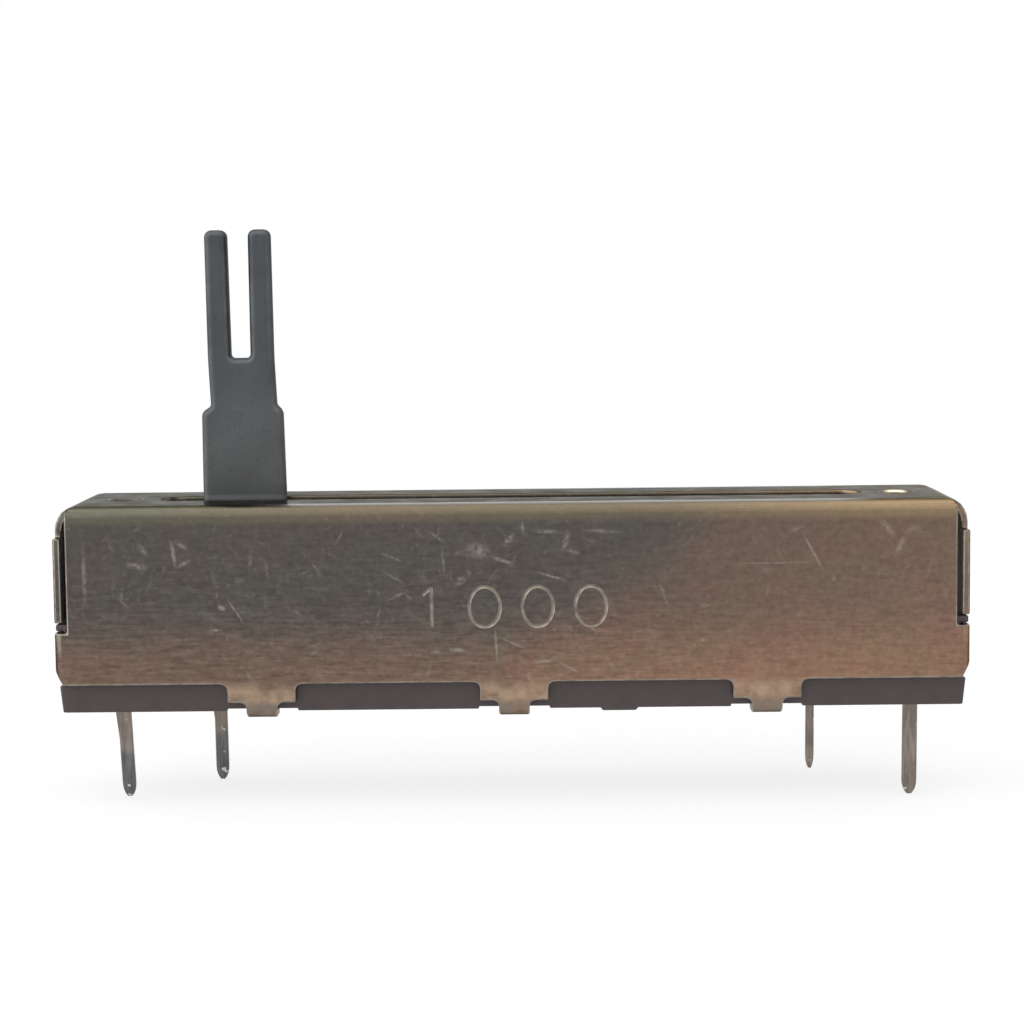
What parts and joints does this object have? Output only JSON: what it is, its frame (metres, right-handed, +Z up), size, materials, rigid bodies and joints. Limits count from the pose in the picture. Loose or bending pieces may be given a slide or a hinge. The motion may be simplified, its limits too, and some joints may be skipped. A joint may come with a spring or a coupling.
{
  "type": "slide potentiometer",
  "caption": "Slide potentiometer with a folded steel case on a dark moulded base, flat solder pins and a forked steel lever that travels along a slot in the top.",
  "frame": {"origin": "centre of the moulded base's underside, which is level with the frame's middle in X and Y", "axes": "+X along the lever's travel, away from its rest end; +Y towards the rear wall; +Z up, out of the slotted top plate"},
  "size_m": [0.045, 0.009, 0.0284],
  "materials": {
    "rolled_steel": "satin, rolled along its length, scratched",
    "lever_steel": "dull, tumbled",
    "moulded_phenolic": "satin",
    "tinned_brass": "tinned, dull",
    "eyelet_brass": "bright",
    "acetal": "satin",
    "phosphor_bronze": "bright",
    "spring_steel": "bright",
    "paper_laminate": "matte",
    "carbon_ink": "satin",
    "silver_ink": "dull"
  },
  "bodies": {
    "housing": {"frame": "rolled_steel", "base": "moulded_phenolic", "element_board": "paper_laminate", "resistive_track": "carbon_ink", "end_pad_left": "silver_ink", "end_pad_right": "silver_ink", "collector_track": "silver_ink", "terminal_left_outer": "tinned_brass", "terminal_left_inner": "tinned_brass", "terminal_right_inner": "tinned_brass", "terminal_right_outer": "tinned_brass", "eyelet_1": "eyelet_brass", "eyelet_2": "eyelet_brass", "eyelet_3": "eyelet_brass", "eyelet_4": "eyelet_brass"},
    "slider": {"carriage": "acetal", "lever": "lever_steel", "wiper": "phosphor_bronze", "feel_spring": "spring_steel"}
  },
  "joints": [
    {"name": "lever_slide", "type": "slide", "parent": "housing", "child": "slider", "axis": [1, 0, 0], "range_m": [-0.00161, 0.02839]}
  ]
}
